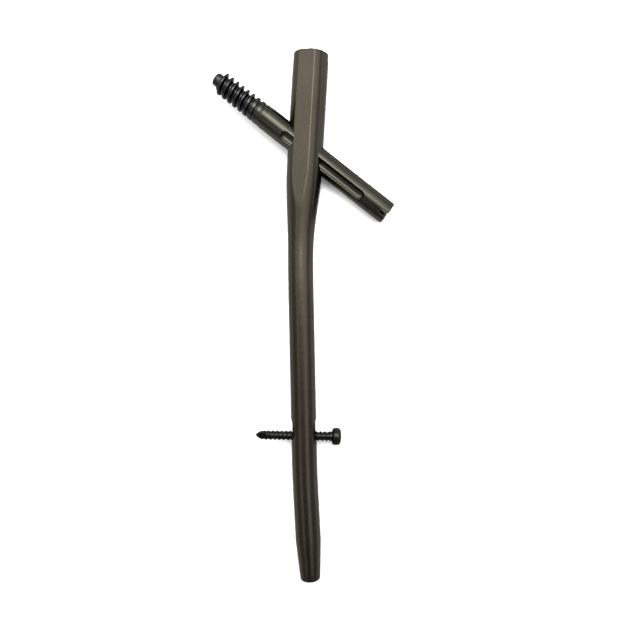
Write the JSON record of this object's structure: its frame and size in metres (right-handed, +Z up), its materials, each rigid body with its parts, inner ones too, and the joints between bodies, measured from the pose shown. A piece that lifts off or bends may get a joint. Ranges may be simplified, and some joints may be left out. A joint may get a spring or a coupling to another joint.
{
  "type": "intramedullary nail",
  "caption": "Short cannulated nail for the upper thigh bone, with a threaded lag screw through it, the set screw that guides it and a distal locking screw.",
  "frame": {"origin": "middle of the implant's box, on the table that it lies on", "axes": "+Y along the nail towards its proximal end, +X lateral towards the lag screw's driver end, +Z up, towards the nail's front"},
  "size_m": [0.0794, 0.2312, 0.0157],
  "materials": {
    "nail_titanium": "fine blasted and anodised, satin dark grey-brown",
    "screw_titanium": "turned, polished and anodised, glossy dark grey"
  },
  "bodies": {
    "nail": {"nail_body": "nail_titanium"},
    "lag": {"lag_screw": "screw_titanium"},
    "set": {"set_screw": "screw_titanium"},
    "locking": {"locking_screw": "screw_titanium"}
  },
  "joints": [
    {"name": "lag_slide", "type": "slide", "parent": "nail", "child": "lag", "axis": [0.7905, -0.6101, -0.0545], "range_m": [-0.034, 0.007]},
    {"name": "set_screw_travel", "type": "slide", "parent": "nail", "child": "set", "axis": [0.0599, 0.9982, 0.0088], "range_m": [0, 0.003]},
    {"name": "locking_slide", "type": "slide", "parent": "nail", "child": "locking", "axis": [-0.0205, 0.9997, 0.0136], "range_m": [0, 0.0048]}
  ]
}
